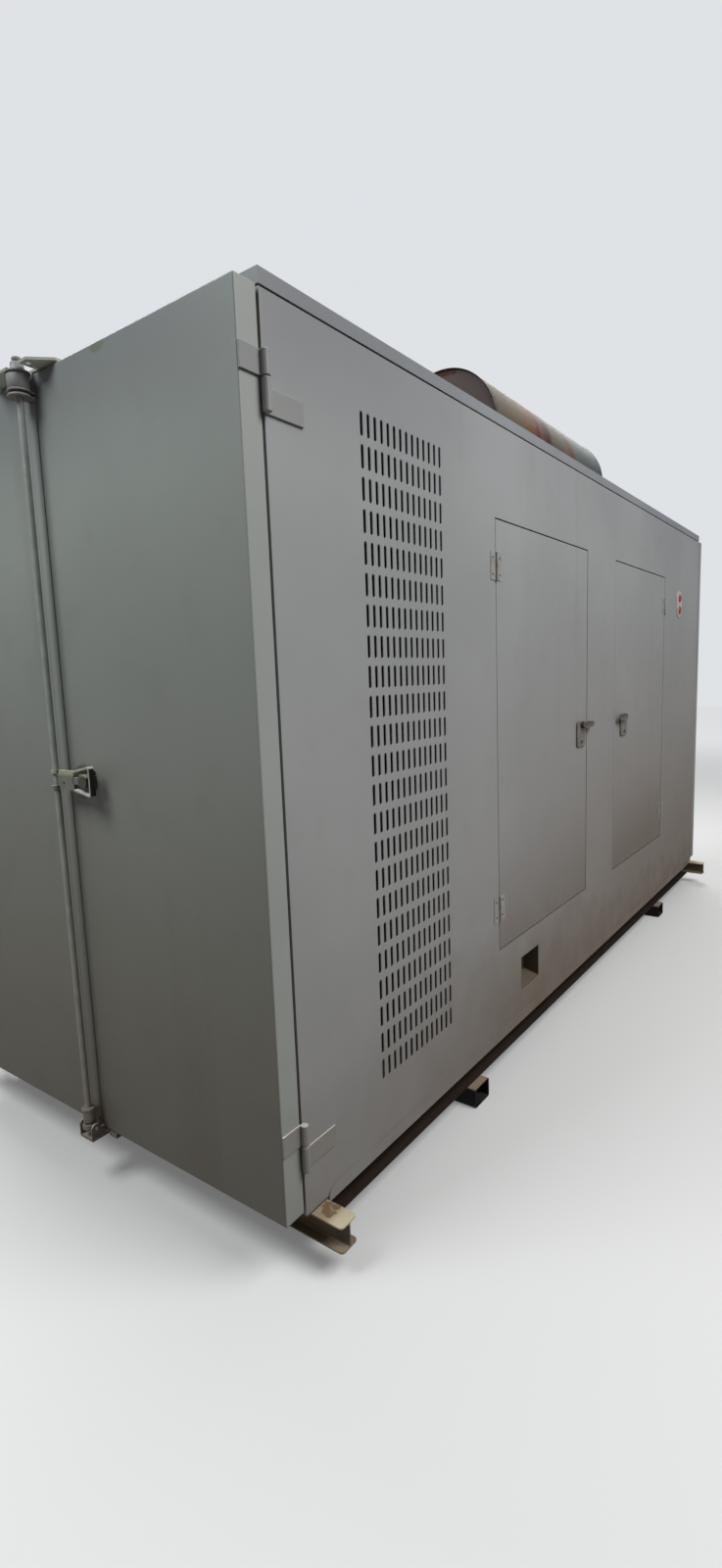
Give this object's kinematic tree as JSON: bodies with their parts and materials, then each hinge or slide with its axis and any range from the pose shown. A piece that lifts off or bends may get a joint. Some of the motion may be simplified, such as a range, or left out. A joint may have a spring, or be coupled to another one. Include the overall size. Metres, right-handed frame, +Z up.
{
  "type": "soundproof generator set housing",
  "caption": "Light grey sheet-metal generator housing on a low steel base, with end double doors, service doors, a slotted grille and a roof silencer.",
  "frame": {"origin": "on the ground at the centre of the bounding box", "axes": "+X along the housing away from the end double doors, -Y the side with the grille and the service doors, +Z up"},
  "size_m": [4.674, 1.908, 3.204],
  "materials": {
    "panel_paint": "semi-gloss light grey powder coat, dusty",
    "door_paint": "semi-gloss light grey powder coat, dusty",
    "base_steel": "satin grey paint with road dust",
    "primed_steel": "dusty beige-grey paint with rust stains",
    "silencer_paint": "heat-bleached grey paint with rust bands",
    "rusty_steel": "dark red-brown rusted plate",
    "zinc": "dull zinc plating",
    "dull_chrome": "worn satin plating",
    "plate_plastic": "pale matt plate",
    "red_plastic": "plain red buttons"
  },
  "bodies": {
    "housing": {"cross_tubes": "base_steel", "outriggers": "primed_steel", "rails": "base_steel", "floor_tray": "base_steel", "skirts": "panel_paint", "front_wall_near": "panel_paint", "front_grille": "panel_paint", "front_wall_middle": "panel_paint", "front_header": "panel_paint", "front_sill": "panel_paint", "front_mullion": "panel_paint", "front_wall_far": "panel_paint", "pocket_box": "panel_paint", "back_wall_panels": "panel_paint", "back_grille_sheet": "panel_paint", "back_door_rails": "panel_paint", "back_mullion": "panel_paint", "back_doors": "panel_paint", "frame_posts": "panel_paint", "frame_rails": "panel_paint", "far_end_leaves": "door_paint", "roof_panel": "panel_paint", "silencer_shell": "silencer_paint", "silencer_near_head": "rusty_steel", "silencer_far_head": "silencer_paint", "silencer_saddles": "base_steel", "button_plate": "plate_plastic", "stop_buttons": "red_plastic", "end_hinge_plates": "door_paint", "service_hinge_plates": "zinc", "lock_keeper": "base_steel", "lock_shelf": "door_paint"},
    "end_door_front": {"end_door_front": "door_paint", "end_door_front_hinges": "door_paint", "meeting_strip": "door_paint", "rod_guides": "zinc", "handle_catch": "zinc"},
    "end_door_back": {"end_door_back": "door_paint", "end_door_back_hinges": "door_paint"},
    "lock_rod": {"lock_rod": "zinc", "lock_handle": "zinc"},
    "service_door_near": {"service_door_near": "panel_paint", "service_door_near_hinges": "zinc", "latch_plate_near": "dull_chrome"},
    "service_door_far": {"service_door_far": "panel_paint", "service_door_far_hinges": "zinc", "latch_plate_far": "dull_chrome"},
    "latch_lever_near": {"latch_lever_near": "dull_chrome"},
    "latch_lever_far": {"latch_lever_far": "dull_chrome"}
  },
  "joints": [
    {"name": "end_door_front_hinge", "type": "hinge", "parent": "housing", "child": "end_door_front", "pos_m": [-2.1885, -0.8625, 1.322], "axis": [0, 0, 1], "range_deg": [0, 180]},
    {"name": "end_door_back_hinge", "type": "hinge", "parent": "housing", "child": "end_door_back", "pos_m": [-2.1885, 0.8625, 1.322], "axis": [0, 0, -1], "range_deg": [0, 180]},
    {"name": "lock_rod_turn", "type": "hinge", "parent": "end_door_front", "child": "lock_rod", "pos_m": [-2.304, -0.035, 1.322], "axis": [0, 0, -1], "range_deg": [0, 90]},
    {"name": "service_door_near_hinge", "type": "hinge", "parent": "housing", "child": "service_door_near", "pos_m": [-0.9975, -0.8565, 1.33], "axis": [0, 0, -1], "range_deg": [0, 120]},
    {"name": "service_door_far_hinge", "type": "hinge", "parent": "housing", "child": "service_door_far", "pos_m": [1.3595, -0.8565, 1.33], "axis": [0, 0, 1], "range_deg": [0, 120]},
    {"name": "latch_near_turn", "type": "hinge", "parent": "service_door_near", "child": "latch_lever_near", "pos_m": [-0.12, -0.859, 1.336], "axis": [0, 1, 0], "range_deg": [0, 60]},
    {"name": "latch_far_turn", "type": "hinge", "parent": "service_door_far", "child": "latch_lever_far", "pos_m": [0.54, -0.859, 1.336], "axis": [0, -1, 0], "range_deg": [0, 60]}
  ]
}
